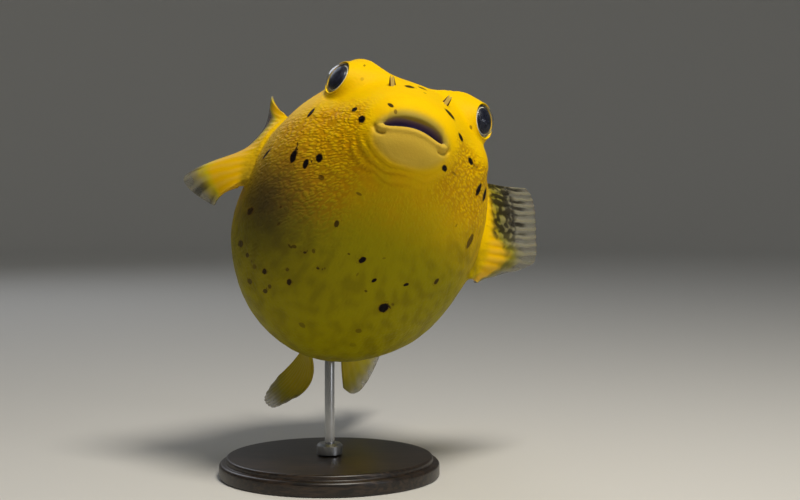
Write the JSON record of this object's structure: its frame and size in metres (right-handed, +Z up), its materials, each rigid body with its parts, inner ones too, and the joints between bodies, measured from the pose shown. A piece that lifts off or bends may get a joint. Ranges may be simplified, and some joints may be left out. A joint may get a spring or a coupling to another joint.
{
  "type": "pufferfish",
  "caption": "Golden guineafowl puffer, a round-bodied yellow reef fish with black spots, swimming towards the viewer, held on a rod over a flat round base.",
  "frame": {"origin": "centre of the underside of the display stand's round base, on the floor", "axes": "+Z up. The fish heads mostly along -Y, turned 15 degrees towards +X, nose up 18.5 degrees and banked 19.5 degrees so that its right side (towards -X) is the higher one. Its tail is on the +Y side."},
  "size_m": [0.1775, 0.2425, 0.2049],
  "materials": {
    "yellow_skin": "moist scaleless skin, finely wrinkled, yellow with black spots",
    "pale_lip": "moist pale yellow lips",
    "eye": "wet and glossy, blue-black with a thin silver rim",
    "fin": "moist fin skin over rays, yellow at the root and clear at the margin",
    "stand_wood": "black-stained, satin",
    "stand_steel": "brushed"
  },
  "bodies": {
    "root": {"head": "yellow_skin", "trunk": "yellow_skin", "tail": "yellow_skin", "upper_lip": "pale_lip", "lower_lip": "pale_lip", "nostril_left": "yellow_skin", "nostril_right": "yellow_skin", "eye_left": "eye", "eye_right": "eye", "pectoral_fin_left": "fin", "pectoral_fin_right": "fin", "dorsal_fin": "fin", "anal_fin": "fin", "caudal_fin": "fin", "stand_base": "stand_wood", "stand_collar": "stand_steel", "stand_rod": "stand_steel"}
  },
  "joints": []
}
